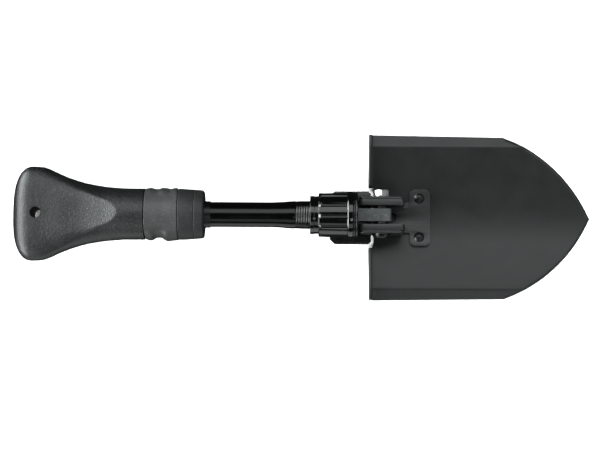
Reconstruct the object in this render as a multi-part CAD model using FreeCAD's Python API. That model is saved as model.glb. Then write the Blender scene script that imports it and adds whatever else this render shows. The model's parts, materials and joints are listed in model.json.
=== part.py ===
"""Folding camp shovel with a telescoping handle.  Millimetres, +Z up, blade towards +X.

The shovel lies on the back of its blade, face up.  Every shape below is drawn about the
fold pin: x = 0 and z = 0 are on the pin's axis and the shaft's axis is the X axis.
save() moves each piece into the part's frame, whose origin is the middle of the floor
rectangle under the whole shovel.
"""
import FreeCAD, Part
import math
import os

V = FreeCAD.Vector
X_AXIS = V(1, 0, 0)
Y_AXIS = V(0, 1, 0)
Z_AXIS = V(0, 0, 1)
FAR = 400.0                      # longer than the shovel, for cutting tools

# whole shovel
TIP_X = 173.8                    # blade tip
HANDLE_END_X = -300.3            # end of the pommel
FLOOR_Z = -26.0                  # back of the blade's middle line and foot of the pad

# blade
BLADE_T = 2.5
BLADE_FACE_Z = FLOOR_Z + BLADE_T
VALLEY_R = 159.0                 # round valley along the middle of the blade
VALLEY_HALF = 21.0               # beyond this the two halves are flat
FLANGE_Y = 59.2                  # bend line of the stiffening flange along each side
FLANGE_BEND = math.radians(20)
BLADE_BACK_X = -5.6
BLADE_BACK_HALF = 68.7
SHOULDER_X = 101.8
SHOULDER_HALF = 67.1
POINT_R = 126.0                  # both sides of the point
LIP_X = -9.8
LIP_INNER = 24.9
LIP_RISE = 8.0

# hinge bracket on the blade
BRACKET_T = 3.0
BAR_BACK_X = 24.4
BAR_FRONT_X = 40.9
BAR_HALF = 23.4
BAR_CORNER_R = 4.5
STEM_HALF = 12.5
EAR_IN = 7.85
EAR_OUT = 12.5
EAR_FLAT = 18.7                  # flats that the thrust ring locks against
EAR_TOP = 8.0
EAR_SWEEP_R = 19.3               # nothing on an ear lies further from the pin on the nut's side
EAR_CORNER_R = 4.0
CHEEK_OUT = 14.9
RIVET_X = 32.0
RIVET_Y = 16.35
RIVET_HEAD_R = 4.4
RIVET_R = 2.5

# fold pin
PIN_R = 4.0
PIN_FIT = 0.05
PIN_HEAD_R = 7.5
PIN_HEAD_END = 19.9
PIN_TAIL_END = 21.4
PIN_NUT_FLATS = 11.0
WASHER_T = 1.0

# yoke and hammer pad
TONGUE_HALF = 5.1
TONGUE_END_X = 7.8
TONGUE_TOP = 5.5
TONGUE_BOTTOM = -6.0
WEB_BACK_X = -18.3
WEB_FRONT_X = -8.5
PAD_TOP = -20.9
PAD_BACK_X = -41.8
PAD_FRONT_X = -7.8
PAD_HALF = 21.9
YOKE_PIN_X = -45.0
YOKE_PIN_R = 2.0

# shaft tube
TUBE_R = 10.2
TUBE_BORE_R = 8.7
TUBE_REAR_X = -212.5
TUBE_FRONT_X = -24.0
FLARE_X = -89.4
FLARE_END_X = -72.5
THREAD_X = -70.0
THREAD_END_X = -24.5
THREAD_PITCH = 2.0
FLARE_R = 11.3
THREAD_CORE_R = 10.95
THREAD_R = 11.75

# lock nut and its rings
NUT_BACK_X = -58.3
NUT_BODY_X = -51.4
NUT_FLANGE_X = -28.4
NUT_FLANGE_END_X = -23.6
NUT_FRONT_X = -20.0
RING_FRONT_X = -19.6
NUT_BORE_R = 11.85
NUT_COLLAR_R = 15.7
NUT_BODY_R = 18.25
NUT_FLANGE_R = 19.35
NUT_HUB_R = 13.5
HUB_GROOVE_R = 12.8
RING_R = 18.75
FLUTES = 12
FIRST_FLUTE = math.radians(8)    # from +Y towards +Z

# handle
NECK_R = 20.9
NECK_X = -201.0
SEAM_X = -192.5
CORE_R = 17.0
CORE_END_X = -152.2
GRIP_BACK_X = -192.1
GRIP_FRONT_X = -165.5
GRIP_R = 21.7                    # over the side ribs
SADDLE_R = 20.8
FERRULE_X = -165.1
MOUTH_X = -144.2
BUSHING_BACK_X = -158.0
BUSHING_FRONT_X = -139.1
BUSHING_R = 12.0
SLIDE_FIT = 0.05
BORE_R = 11.3
BORE_END_X = -263.5
GUIDE_LENGTH = 6.0
LANYARD_X = -280.1
LANYARD_R = 4.2
POMMEL_WIDE_X = -283.2
POMMEL_HALF_Y = 38.65
POMMEL_HALF_Z = 20.6             # before the two facets are cut
FACET_Z = 13.1                   # half thickness of the flattened pommel

# snap button
BUTTON_X = -200.5
BUTTON_R = 4.0
BUTTON_TRAVEL = 3.8
TELESCOPE = 49.0                 # how far the tube slides into the handle

FRAME_X = -(TIP_X + HANDLE_END_X) / 2.0
FRAME_SHIFT = V(FRAME_X, 0, -FLOOR_Z)


def save(node, *solids):
    """Write one node, in the part's frame."""
    shape = solids[0] if len(solids) == 1 else Part.makeCompound(list(solids))
    shape = shape.copy()
    shape.translate(FRAME_SHIFT)
    shape.exportStep(os.path.join("parts", node + ".step"))


def box(x0, x1, y0, y1, z0, z1):
    return Part.makeBox(x1 - x0, y1 - y0, z1 - z0, V(x0, y0, z0))


def rod_x(x0, x1, radius):
    return Part.makeCylinder(radius, x1 - x0, V(x0, 0, 0), X_AXIS)


def rod_y(y0, y1, radius, x=0.0, z=0.0):
    return Part.makeCylinder(radius, y1 - y0, V(x, y0, z), Y_AXIS)


def rod_z(z0, z1, radius, x=0.0, y=0.0):
    return Part.makeCylinder(radius, z1 - z0, V(x, y, z0), Z_AXIS)


def turned_x(points):
    """Solid of revolution about the shaft axis; points are (x, radius)."""
    corners = [V(x, 0, radius) for x, radius in points]
    face = Part.Face(Part.makePolygon(corners + corners[:1]))
    return face.revolve(V(0, 0, 0), X_AXIS, 360)


def turned_y(points):
    """Solid of revolution about the pin; points are (y, radius)."""
    corners = [V(radius, y, 0) for y, radius in points]
    face = Part.Face(Part.makePolygon(corners + corners[:1]))
    return face.revolve(V(0, 0, 0), Y_AXIS, 360)


def mirrored(shape):
    return shape.mirror(V(0, 0, 0), Y_AXIS)


# ---------------------------------------------------------------- pressed sheet

VALLEY_SLOPE = math.asin(VALLEY_HALF / VALLEY_R)


def half_section(half, offset):
    """Points (y, z) of one half of the blade's section, moved by offset along the face's own normal.

    They are the end of the round valley, the bend of the side flange, and the outer edge; a half
    narrower than the bend leaves the bend out.
    """
    radius = VALLEY_R - offset
    valley_end = (radius * math.sin(VALLEY_SLOPE),
                  BLADE_FACE_Z + VALLEY_R - radius * math.cos(VALLEY_SLOPE))
    if half <= VALLEY_HALF:
        return [(half, BLADE_FACE_Z + VALLEY_R - math.sqrt(radius ** 2 - half ** 2))]
    if half <= FLANGE_Y:
        return [valley_end, (half, valley_end[1] + (half - valley_end[0]) * math.tan(VALLEY_SLOPE))]
    face_rise = VALLEY_R * (1 - math.cos(VALLEY_SLOPE))
    face_bend_z = BLADE_FACE_Z + face_rise + (FLANGE_Y - VALLEY_HALF) * math.tan(VALLEY_SLOPE)
    middle_slope = VALLEY_SLOPE - FLANGE_BEND / 2
    step = offset / math.cos(FLANGE_BEND / 2)
    bend = (FLANGE_Y - step * math.sin(middle_slope), face_bend_z + step * math.cos(middle_slope))
    edge_z = bend[1] + (half - bend[0]) * math.tan(VALLEY_SLOPE - FLANGE_BEND)
    return [valley_end, bend, (half, edge_z)]


def section_edges(half, offset, x):
    """Edges across the sheet from -half to +half at the given x."""
    points = half_section(half, offset)
    left = [V(x, -y, z) for y, z in points]
    right = [V(x, y, z) for y, z in points]
    middle = V(x, 0, BLADE_FACE_Z + offset)
    edges = [Part.Arc(left[0], middle, right[0]).toShape()]
    for side in (left, right):
        for start, end in zip(side, side[1:]):
            edges.append(Part.makeLine(start, end))
    return edges


def pressed_slab(x0, x1, half, low, high):
    """Slab that follows the blade's section between two offsets from its face."""
    edges = section_edges(half, low, x0) + section_edges(half, high, x0)
    low_z = half_section(half, low)[-1][1]
    high_z = half_section(half, high)[-1][1]
    for side in (-half, half):
        edges.append(Part.makeLine(V(x0, side, low_z), V(x0, side, high_z)))
    wire = Part.Wire(Part.__sortEdges__(edges))
    return Part.Face(wire).extrude(V(x1 - x0, 0, 0))


def on_valley(shape, y):
    """Turn a shape drawn at y = 0 round the valley's centre line to y."""
    turned = shape.copy()
    angle = math.degrees(math.asin(y / VALLEY_R))
    turned.rotate(V(0, 0, BLADE_FACE_Z + VALLEY_R), X_AXIS, angle)
    return turned


def blade_outline():
    """Plan of the blade, back edge to point, as one face at z = 0."""
    chord_x = TIP_X - SHOULDER_X
    chord = math.hypot(chord_x, SHOULDER_HALF)
    sagitta = POINT_R - math.sqrt(POINT_R ** 2 - (chord / 2) ** 2)
    bulge_x = (SHOULDER_X + TIP_X) / 2 + sagitta * SHOULDER_HALF / chord
    bulge_y = SHOULDER_HALF / 2 + sagitta * chord_x / chord
    tip = V(TIP_X, 0, 0)
    edges = [Part.makeLine(V(LIP_X, -BLADE_BACK_HALF, 0), V(LIP_X, BLADE_BACK_HALF, 0))]
    for side in (-1, 1):
        back = V(LIP_X, side * BLADE_BACK_HALF, 0)
        shoulder = V(SHOULDER_X, side * SHOULDER_HALF, 0)
        edges.append(Part.makeLine(back, shoulder))
        edges.append(Part.Arc(shoulder, V(bulge_x, side * bulge_y, 0), tip).toShape())
    return Part.Face(Part.Wire(Part.__sortEdges__(edges)))


def make_blade():
    plan = blade_outline()
    plan.translate(V(0, 0, FLOOR_Z - 1))
    column = plan.extrude(V(0, 0, 60))
    sheet = pressed_slab(LIP_X, TIP_X + 1, BLADE_BACK_HALF + 1, -BLADE_T, 0)
    lip = pressed_slab(LIP_X, LIP_X + BLADE_T, BLADE_BACK_HALF + 1, -BLADE_T, LIP_RISE)
    blade = sheet.fuse(lip).common(column)
    notch = box(LIP_X - 1, BLADE_BACK_X, -LIP_INNER, LIP_INNER, FLOOR_Z - 1, 0)
    blade = blade.cut(notch)
    for y in (-RIVET_Y, RIVET_Y):
        blade = blade.cut(on_valley(rod_z(FLOOR_Z - 5, 0, RIVET_R, RIVET_X), y))
    return blade.removeSplitter()


# ---------------------------------------------------------------- hinge

def ear_face(y, inset, foot_z, toe):
    """Side outline of an ear or cheek at the given y; toe is how far its foot spreads forwards."""
    flat = EAR_FLAT - inset
    top = EAR_TOP - inset
    sweep = EAR_SWEEP_R - inset
    shoulder = top - EAR_CORNER_R
    heel_x = BLADE_BACK_X + inset
    heel_z = -math.sqrt(sweep ** 2 - heel_x ** 2)
    flat_z = -math.sqrt(sweep ** 2 - flat ** 2)
    middle_angle = (math.atan2(flat_z, -flat) + math.atan2(heel_z, heel_x)) / 2
    lean = EAR_CORNER_R * (1 - math.sqrt(0.5))
    heel = V(heel_x, y, heel_z)
    flat_low = V(-flat, y, flat_z)
    flat_high = V(-flat, y, shoulder)
    top_back = V(-flat + EAR_CORNER_R, y, top)
    top_front = V(flat - EAR_CORNER_R, y, top)
    front_high = V(flat, y, shoulder)
    back_arc = V(-flat + lean, y, top - lean)
    front_arc = V(flat - lean, y, top - lean)
    sweep_arc = V(sweep * math.cos(middle_angle), y, sweep * math.sin(middle_angle))
    foot = [front_high, V(flat, y, foot_z + 4.5)]
    if toe > 0:
        foot.append(V(flat + toe, y, foot_z + 3.0))
    foot += [V(flat + toe, y, foot_z), V(heel_x, y, foot_z), heel]
    edges = [
        Part.makeLine(flat_low, flat_high),
        Part.Arc(flat_high, back_arc, top_back).toShape(),
        Part.makeLine(top_back, top_front),
        Part.Arc(top_front, front_arc, front_high).toShape(),
    ]
    for start, end in zip(foot, foot[1:]):
        edges.append(Part.makeLine(start, end))
    edges.append(Part.Arc(heel, sweep_arc, flat_low).toShape())
    return Part.Face(Part.Wire(edges))


def make_bracket():
    stem = box(BLADE_BACK_X, BAR_BACK_X + 5, -STEM_HALF, STEM_HALF, -40, 0)
    bar = box(BAR_BACK_X, BAR_FRONT_X, -BAR_HALF, BAR_HALF, -40, 0)
    upright = []
    for edge in bar.Edges:
        if edge.Length > 30 and abs(edge.tangentAt(edge.FirstParameter).z) > 0.9:
            upright.append(edge)
    bar = bar.makeFillet(BAR_CORNER_R, upright)
    base = pressed_slab(BLADE_BACK_X, BAR_FRONT_X, BAR_HALF, 0, BRACKET_T)
    bracket = base.common(stem.fuse(bar))
    ear_width = EAR_OUT - EAR_IN
    left = ear_face(EAR_IN, 0.0, BLADE_FACE_Z + 1.0, 3.8).extrude(V(0, ear_width, 0))
    bracket = bracket.fuse([left, mirrored(left)]).removeSplitter()
    slot_end = 8.7
    slot_r = 4.5
    slot = rod_z(-40, -10, slot_r, slot_end)
    slot = slot.fuse(box(BLADE_BACK_X - 1, slot_end, -slot_r, slot_r, -40, -10))
    bracket = bracket.cut(slot)
    bracket = bracket.cut(rod_y(-20, 20, PIN_R))
    for y in (-RIVET_Y, RIVET_Y):
        bracket = bracket.cut(on_valley(make_bracket_rivet(), y))
    trim = box(-FAR, FAR, -FAR, FAR, -60, BLADE_FACE_Z - 0.01)
    return bracket.cut(trim)


def make_cheek():
    cheek = ear_face(EAR_OUT, 0.5, -19.0, 0.0).extrude(V(0, CHEEK_OUT - EAR_OUT, 0))
    rims = []
    for edge in cheek.Edges:
        middle = edge.valueAt((edge.FirstParameter + edge.LastParameter) / 2)
        if abs(middle.y - CHEEK_OUT) < 1e-6 or abs(middle.y - EAR_OUT) < 1e-6:
            rims.append(edge)
    cheek = cheek.makeChamfer(0.45, rims)
    return cheek.cut(rod_y(0, 30, PIN_R))


def dome_z(z_base, radius, height, x):
    """Spherical cap on a flat base, pointing up when height is positive."""
    sphere_r = (radius ** 2 + height ** 2) / (2 * abs(height))
    sign = 1 if height > 0 else -1
    centre = V(x, 0, z_base + sign * (abs(height) - sphere_r))
    ball = Part.makeSphere(sphere_r, centre)
    low = min(z_base, z_base + height)
    keep = box(x - 10, x + 10, -10, 10, low, low + abs(height))
    return ball.common(keep)


def make_bracket_rivet():
    back = BLADE_FACE_Z - BLADE_T
    face = BLADE_FACE_Z + BRACKET_T
    shank = rod_z(back, face, RIVET_R, RIVET_X)
    head = dome_z(face, RIVET_HEAD_R, 1.9, RIVET_X)
    tail = dome_z(back, 4.0, -0.7, RIVET_X)
    return shank.fuse([head, tail]).removeSplitter()


def make_pivot_bolt():
    sphere_r = 8.6
    rim_y = -17.0
    crown = Part.makeSphere(sphere_r, V(0, -PIN_HEAD_END + sphere_r, 0))
    flange = rod_y(rim_y, -CHEEK_OUT, PIN_HEAD_R)
    head = rod_y(-PIN_HEAD_END, -CHEEK_OUT, PIN_HEAD_R).common(crown.fuse(flange))
    chamfer = 0.6
    shank = turned_y([(-CHEEK_OUT, 0), (-CHEEK_OUT, PIN_R), (PIN_TAIL_END - chamfer, PIN_R),
                      (PIN_TAIL_END, PIN_R - chamfer), (PIN_TAIL_END, 0)])
    return head.fuse(shank).removeSplitter()


def make_pivot_nut():
    base = CHEEK_OUT + WASHER_T
    height = 4.8
    corner = PIN_NUT_FLATS / math.sqrt(3)
    ring = []
    for i in range(7):
        angle = math.radians(60 * i + 30)
        ring.append(V(corner * math.cos(angle), base, corner * math.sin(angle)))
    prism = Part.Face(Part.makePolygon(ring)).extrude(V(0, height, 0))
    rounded = turned_y([(base, 0), (base, corner), (base + height - 0.7, corner),
                        (base + height, corner - 1.1), (base + height, 0)])
    return prism.common(rounded).cut(rod_y(base, base + height, PIN_R))


def washer_y(y0, y1, radius):
    return rod_y(y0, y1, radius).cut(rod_y(y0, y1, PIN_R))


# ---------------------------------------------------------------- yoke and pad

def make_pad():
    pad = box(PAD_BACK_X, PAD_FRONT_X, -PAD_HALF, PAD_HALF, FLOOR_Z, PAD_TOP)
    back = []
    front = []
    for edge in pad.Edges:
        if abs(edge.tangentAt(edge.FirstParameter).z) > 0.9:
            group = back if edge.Vertexes[0].X < -20 else front
            group.append(edge)
    pad = pad.makeChamfer(4.0, back)
    front = [edge for edge in pad.Edges
             if abs(edge.tangentAt(edge.FirstParameter).z) > 0.9 and edge.Vertexes[0].X > PAD_FRONT_X - 0.1]
    pad = pad.makeChamfer(2.0, front)
    trough_r = 45.0
    trough = Part.makeCylinder(trough_r, 60, V(PAD_BACK_X - 5, 0, PAD_TOP - 1.4 + trough_r), X_AXIS)
    seat = box(WEB_BACK_X, WEB_FRONT_X, -TONGUE_HALF, TONGUE_HALF, FLOOR_Z + 1, PAD_TOP)
    pad = pad.cut(trough).fuse(seat).removeSplitter()
    for rivet in make_pad_rivets():
        pad = pad.cut(rivet)
    return pad


def make_pad_rivets():
    middle_x = (WEB_BACK_X + WEB_FRONT_X) / 2
    rivets = []
    for y in (-2.6, 2.6):
        head = Part.makeCone(2.4, 1.5, 1.2, V(middle_x, y, FLOOR_Z), Z_AXIS)
        shank = rod_z(FLOOR_Z + 1.2, PAD_TOP + 6, 1.5, middle_x, y)
        rivets.append(head.fuse(shank).removeSplitter())
    return rivets


def make_yoke():
    collar_end = TUBE_FRONT_X + 2.0
    plug = rod_x(-62.0, TUBE_FRONT_X, TUBE_BORE_R)
    collar = rod_x(TUBE_FRONT_X, collar_end, TUBE_R)
    tongue = box(collar_end - 1, TONGUE_END_X, -TONGUE_HALF, TONGUE_HALF, TONGUE_BOTTOM, TONGUE_TOP)
    edge_lines = []
    for edge in tongue.Edges:
        middle = edge.valueAt((edge.FirstParameter + edge.LastParameter) / 2)
        if abs(middle.x - TONGUE_END_X) < 1e-6 and abs(middle.z) > 1:
            edge_lines.append(edge)
    tongue = tongue.makeFillet(2.0, edge_lines)
    web = box(WEB_BACK_X, WEB_FRONT_X, -TONGUE_HALF, TONGUE_HALF, PAD_TOP, TONGUE_BOTTOM + 1)
    yoke = plug.fuse([collar, tongue, web]).removeSplitter()
    yoke = yoke.cut(rod_y(-10, 10, PIN_R + PIN_FIT))
    yoke = yoke.cut(rod_z(-12, 12, YOKE_PIN_R, YOKE_PIN_X))
    for rivet in make_pad_rivets():
        yoke = yoke.cut(rivet)
    return yoke


# ---------------------------------------------------------------- shaft and nut

def make_tube():
    outside = turned_x([
        (TUBE_REAR_X, TUBE_BORE_R), (TUBE_REAR_X, TUBE_R), (FLARE_X, TUBE_R),
        (FLARE_END_X, FLARE_R), (THREAD_X - 0.8, FLARE_R), (THREAD_X, THREAD_CORE_R),
        (TUBE_FRONT_X, THREAD_CORE_R), (TUBE_FRONT_X, TUBE_BORE_R)])
    half = 0.40 * THREAD_PITCH
    flat = 0.12
    start = THREAD_X + half
    length = THREAD_END_X - half - start
    helix = Part.makeHelix(THREAD_PITCH, length, THREAD_CORE_R)
    corners = [V(THREAD_CORE_R - 0.12, 0, -half), V(THREAD_R, 0, -flat), V(THREAD_R, 0, flat),
               V(THREAD_CORE_R - 0.12, 0, half)]
    profile = Part.makePolygon(corners + corners[:1])
    ridge = Part.Wire(helix.Edges).makePipeShell([profile], True, True)
    ridge.rotate(V(0, 0, 0), Y_AXIS, 90)
    ridge.translate(V(start, 0, 0))
    tube = outside.fuse(ridge)
    tube = tube.cut(rod_z(-12, 12, YOKE_PIN_R, YOKE_PIN_X))
    return tube.cut(rod_z(-12, 0, BUTTON_R + 0.1, BUTTON_X))


def make_lock_nut():
    groove_x = -21.6
    nut = turned_x([
        (NUT_BACK_X, NUT_BORE_R), (NUT_BACK_X, NUT_COLLAR_R - 1.0), (NUT_BACK_X + 1.0, NUT_COLLAR_R),
        (NUT_BODY_X, NUT_COLLAR_R), (NUT_BODY_X, NUT_BODY_R - 1.2), (NUT_BODY_X + 1.2, NUT_BODY_R - 0.5),
        (NUT_FLANGE_X, NUT_BODY_R), (NUT_FLANGE_X, NUT_FLANGE_R - 0.5), (NUT_FLANGE_X + 0.5, NUT_FLANGE_R),
        (NUT_FLANGE_END_X - 0.5, NUT_FLANGE_R), (NUT_FLANGE_END_X, NUT_FLANGE_R - 0.5),
        (NUT_FLANGE_END_X, NUT_HUB_R), (groove_x, NUT_HUB_R), (groove_x, HUB_GROOVE_R),
        (NUT_FRONT_X, HUB_GROOVE_R), (NUT_FRONT_X, NUT_BORE_R)])
    flute_r = 1.7
    for i in range(FLUTES):
        angle = FIRST_FLUTE + 2 * math.pi * i / FLUTES
        centre_r = NUT_BODY_R + 0.35
        y = centre_r * math.cos(angle)
        z = centre_r * math.sin(angle)
        start = NUT_BODY_X + 1.9
        cutter = Part.makeCylinder(flute_r, NUT_FLANGE_X - start, V(start, y, z), X_AXIS)
        cutter = cutter.fuse(Part.makeSphere(flute_r, V(start, y, z)))
        nut = nut.cut(cutter)
    return nut


def make_wave_washer():
    return turned_x([(-23.4, NUT_HUB_R + 0.08), (-23.4, RING_R - 0.3), (-23.1, RING_R),
                     (-21.95, RING_R), (-21.65, RING_R - 0.3), (-21.65, NUT_HUB_R + 0.08)])


def make_thrust_ring():
    back = -21.45
    return turned_x([(back, HUB_GROOVE_R + 0.08), (back, RING_R - 0.3), (back + 0.3, RING_R),
                     (RING_FRONT_X - 0.3, RING_R), (RING_FRONT_X, RING_R - 0.3),
                     (RING_FRONT_X, HUB_GROOVE_R + 0.08)])


# ---------------------------------------------------------------- handle

def oval(x, half_y, half_z):
    """Closed elliptical section across the handle."""
    if half_y >= half_z:
        curve = Part.Ellipse(V(x, half_y, 0), V(x, 0, half_z), V(x, 0, 0))
    else:
        curve = Part.Ellipse(V(x, 0, half_z), V(x, half_y, 0), V(x, 0, 0))
    return Part.Wire(curve.toShape())


def facet_tool():
    """Everything above the pommel's long flat, which starts at the top of the neck."""
    points = [(-214.0, 21.4), (-228.0, 18.0), (-244.0, 14.9), (-260.0, 13.8),
              (-277.0, FACET_Z), (HANDLE_END_X - 5, FACET_Z - 0.3)]
    curve = Part.BSplineCurve()
    curve.interpolate([V(x, -60, z) for x, z in points])
    first = V(points[0][0], -60, points[0][1])
    last = V(points[-1][0], -60, points[-1][1])
    high_first = V(first.x, -60, 40)
    high_last = V(last.x, -60, 40)
    edges = [curve.toShape(), Part.makeLine(last, high_last), Part.makeLine(high_last, high_first),
             Part.makeLine(high_first, first)]
    return Part.Face(Part.Wire(edges)).extrude(V(0, 120, 0))


def make_pommel():
    """Flared handle end: oval sections that close in a superellipse, with a long flat cut on each side."""
    sections = [
        (SEAM_X, NECK_R, NECK_R), (NECK_X, NECK_R, NECK_R), (-217.3, 21.6, NECK_R),
        (-233.5, 23.7, NECK_R), (-249.8, 27.6, 20.8), (-264.5, 33.5, 20.7),
        (-274.3, 37.6, POMMEL_HALF_Z), (POMMEL_WIDE_X, POMMEL_HALF_Y, POMMEL_HALF_Z)]
    depth = POMMEL_WIDE_X - HANDLE_END_X
    power = 2 / 2.5
    for degrees in (72, 54, 36, 20, 8):
        angle = math.radians(degrees)
        size = math.sin(angle) ** power
        x = POMMEL_WIDE_X - depth * math.cos(angle) ** power
        sections.append((x, POMMEL_HALF_Y * size, POMMEL_HALF_Z * size))
    wires = []
    for x, half_y, half_z in sections:
        wires.append(oval(x, half_y + 0.001, half_z))
    pommel = Part.makeLoft(wires, True, False)
    tool = facet_tool()
    pommel = pommel.cut(tool)
    return pommel.cut(tool.mirror(V(0, 0, 0), Z_AXIS))


def thumb_recess(x, surface_r):
    """Dished recess round a button hole, on the underside."""
    floor_r = 13.6
    depth = surface_r + 1.0 - floor_r
    cone = Part.makeCone(7.5, 7.5 + depth * 0.9, depth, V(x, 0, -floor_r), V(0, 0, -1))
    return cone.fuse(rod_z(-40, 0, BUTTON_R + 0.25, x))


def make_handle_body():
    core = rod_x(SEAM_X, CORE_END_X, CORE_R)
    body = make_pommel().fuse(core)
    body = body.cut(rod_x(BORE_END_X, 0, BORE_R))
    body = body.cut(rod_x(BUSHING_BACK_X, 0, BUSHING_R))
    body = body.cut(thumb_recess(BUTTON_X, NECK_R))
    body = body.cut(thumb_recess(BUTTON_X - TELESCOPE, 15.5))
    hole = rod_z(-40, 40, LANYARD_R, LANYARD_X)
    return body.cut(hole)


def make_grip():
    """Rubber sleeve: ribs at the sides, a smooth saddle on the face and the underside."""
    ribs = 3
    length = GRIP_FRONT_X - GRIP_BACK_X
    step = length / ribs
    profile = [(GRIP_BACK_X, CORE_R), (GRIP_BACK_X, GRIP_R - 0.6), (GRIP_BACK_X + 0.6, GRIP_R)]
    ribbed = turned_x(profile + [(GRIP_FRONT_X - 0.6, GRIP_R), (GRIP_FRONT_X, GRIP_R - 0.6),
                                 (GRIP_FRONT_X, CORE_R)])
    groove_r = 4.0
    groove_depth = 1.9
    for i in range(1, ribs):
        middle = GRIP_BACK_X + i * step
        ring = Part.makeTorus(GRIP_R + groove_r - groove_depth, groove_r, V(middle, 0, 0), X_AXIS)
        ribbed = ribbed.cut(ring)
    smooth = turned_x([(GRIP_BACK_X, CORE_R), (GRIP_BACK_X, SADDLE_R), (GRIP_FRONT_X, SADDLE_R),
                       (GRIP_FRONT_X, CORE_R)])
    saddle_half = 14.0
    saddle_floor = SADDLE_R - 3
    ribbed = ribbed.cut(box(-FAR, 0, -saddle_half, saddle_half, saddle_floor, FAR))
    ribbed = ribbed.cut(box(-FAR, 0, -saddle_half, saddle_half, -FAR, -saddle_floor))
    saddle = smooth.common(box(GRIP_BACK_X, GRIP_FRONT_X, -saddle_half, saddle_half, -FAR, FAR))
    return ribbed.fuse(saddle)


def make_button():
    seat = -3.3
    flange = rod_z(seat, -2.4, 4.6, BUTTON_X)
    crown_r = 9.0
    tip = -TUBE_R + 0.1
    barrel = rod_z(tip, seat, BUTTON_R, BUTTON_X)
    crown = Part.makeSphere(crown_r, V(BUTTON_X, 0, tip + crown_r))
    collar = rod_z(tip + 1.2, seat, BUTTON_R, BUTTON_X)
    return flange.fuse(barrel.common(crown).fuse(collar)).removeSplitter()


def make_button_spring():
    """V spring: a flat leg under the button, a bend, and a leg up to the tube's far wall."""
    width = 5.0
    thick = 0.5
    bend_x = BUTTON_X + 26.0
    low = -1.7
    high = 8.0
    bend_r = 1.6
    outer = bend_r + thick
    y0 = -width / 2
    leg = box(BUTTON_X - 5, bend_x, y0, -y0, low - thick, low)
    bend_z = low + bend_r
    bend = Part.makeCylinder(outer, width, V(bend_x, y0, bend_z), Y_AXIS)
    bend = bend.cut(Part.makeCylinder(bend_r, width, V(bend_x, y0, bend_z), Y_AXIS))
    bend = bend.common(box(bend_x, bend_x + 5, y0, -y0, -10, 10))
    top_z = bend_z + bend_r
    far_x = BUTTON_X - 5
    corners = [V(bend_x, y0, top_z), V(bend_x, y0, top_z + thick), V(far_x, y0, high),
               V(far_x, y0, high - thick)]
    upper = Part.Face(Part.makePolygon(corners + corners[:1])).extrude(V(0, width, 0))
    return leg.fuse([bend, upper]).removeSplitter()


def main():
    os.makedirs("parts", exist_ok=True)

    # handle
    save("handle_body", make_handle_body())
    save("grip_sleeve", make_grip())
    save("ferrule_ring", turned_x([(FERRULE_X, CORE_R), (FERRULE_X, NECK_R - 0.3),
                                   (FERRULE_X + 0.4, NECK_R + 0.05), (CORE_END_X - 0.4, 20.3),
                                   (CORE_END_X, 19.9), (CORE_END_X, CORE_R)]))
    save("ferrule_end_ring", turned_x([(CORE_END_X, BUSHING_R), (CORE_END_X, 19.7), (CORE_END_X + 0.3, 20.0),
                                       (MOUTH_X - 1.6, 19.5), (MOUTH_X, 17.9), (MOUTH_X, BUSHING_R)]))
    save("mouth_bushing", turned_x([(BUSHING_BACK_X, TUBE_R + SLIDE_FIT), (BUSHING_BACK_X, BUSHING_R),
                                    (MOUTH_X, BUSHING_R), (MOUTH_X, 11.0), (BUSHING_FRONT_X - 0.3, 10.9),
                                    (BUSHING_FRONT_X, 10.6), (BUSHING_FRONT_X, TUBE_R + SLIDE_FIT)]))

    # shaft
    save("shaft_tube", make_tube())
    guide_end = TUBE_REAR_X + GUIDE_LENGTH
    save("guide_ring", turned_x([(TUBE_REAR_X, TUBE_R), (TUBE_REAR_X, BORE_R - SLIDE_FIT),
                                 (guide_end, BORE_R - SLIDE_FIT), (guide_end, TUBE_R)]))
    save("button_spring", make_button_spring())
    save("snap_button", make_button())
    save("yoke", make_yoke())
    save("yoke_pin", rod_z(-TUBE_R, TUBE_R, YOKE_PIN_R, YOKE_PIN_X))
    save("hammer_pad", make_pad())
    save("pad_rivets", *make_pad_rivets())

    # locking nut
    save("lock_nut", make_lock_nut())
    save("wave_washer", make_wave_washer())
    save("thrust_ring", make_thrust_ring())

    # hinge and blade
    save("blade", make_blade())
    save("hinge_bracket", make_bracket())
    cheek = make_cheek()
    save("cheek_plate_left", cheek)
    save("cheek_plate_right", mirrored(cheek))
    rivet = make_bracket_rivet()
    save("bracket_rivets", on_valley(rivet, -RIVET_Y), on_valley(rivet, RIVET_Y))
    save("pivot_bolt", make_pivot_bolt())
    save("pivot_nut", make_pivot_nut())
    save("pivot_washer", washer_y(CHEEK_OUT, CHEEK_OUT + WASHER_T, 6.8))
    spacer = washer_y(TONGUE_HALF + 0.1, EAR_IN, 5.25)
    save("spacer_washers", spacer, mirrored(spacer))


main()
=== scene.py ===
import json
import math

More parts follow.
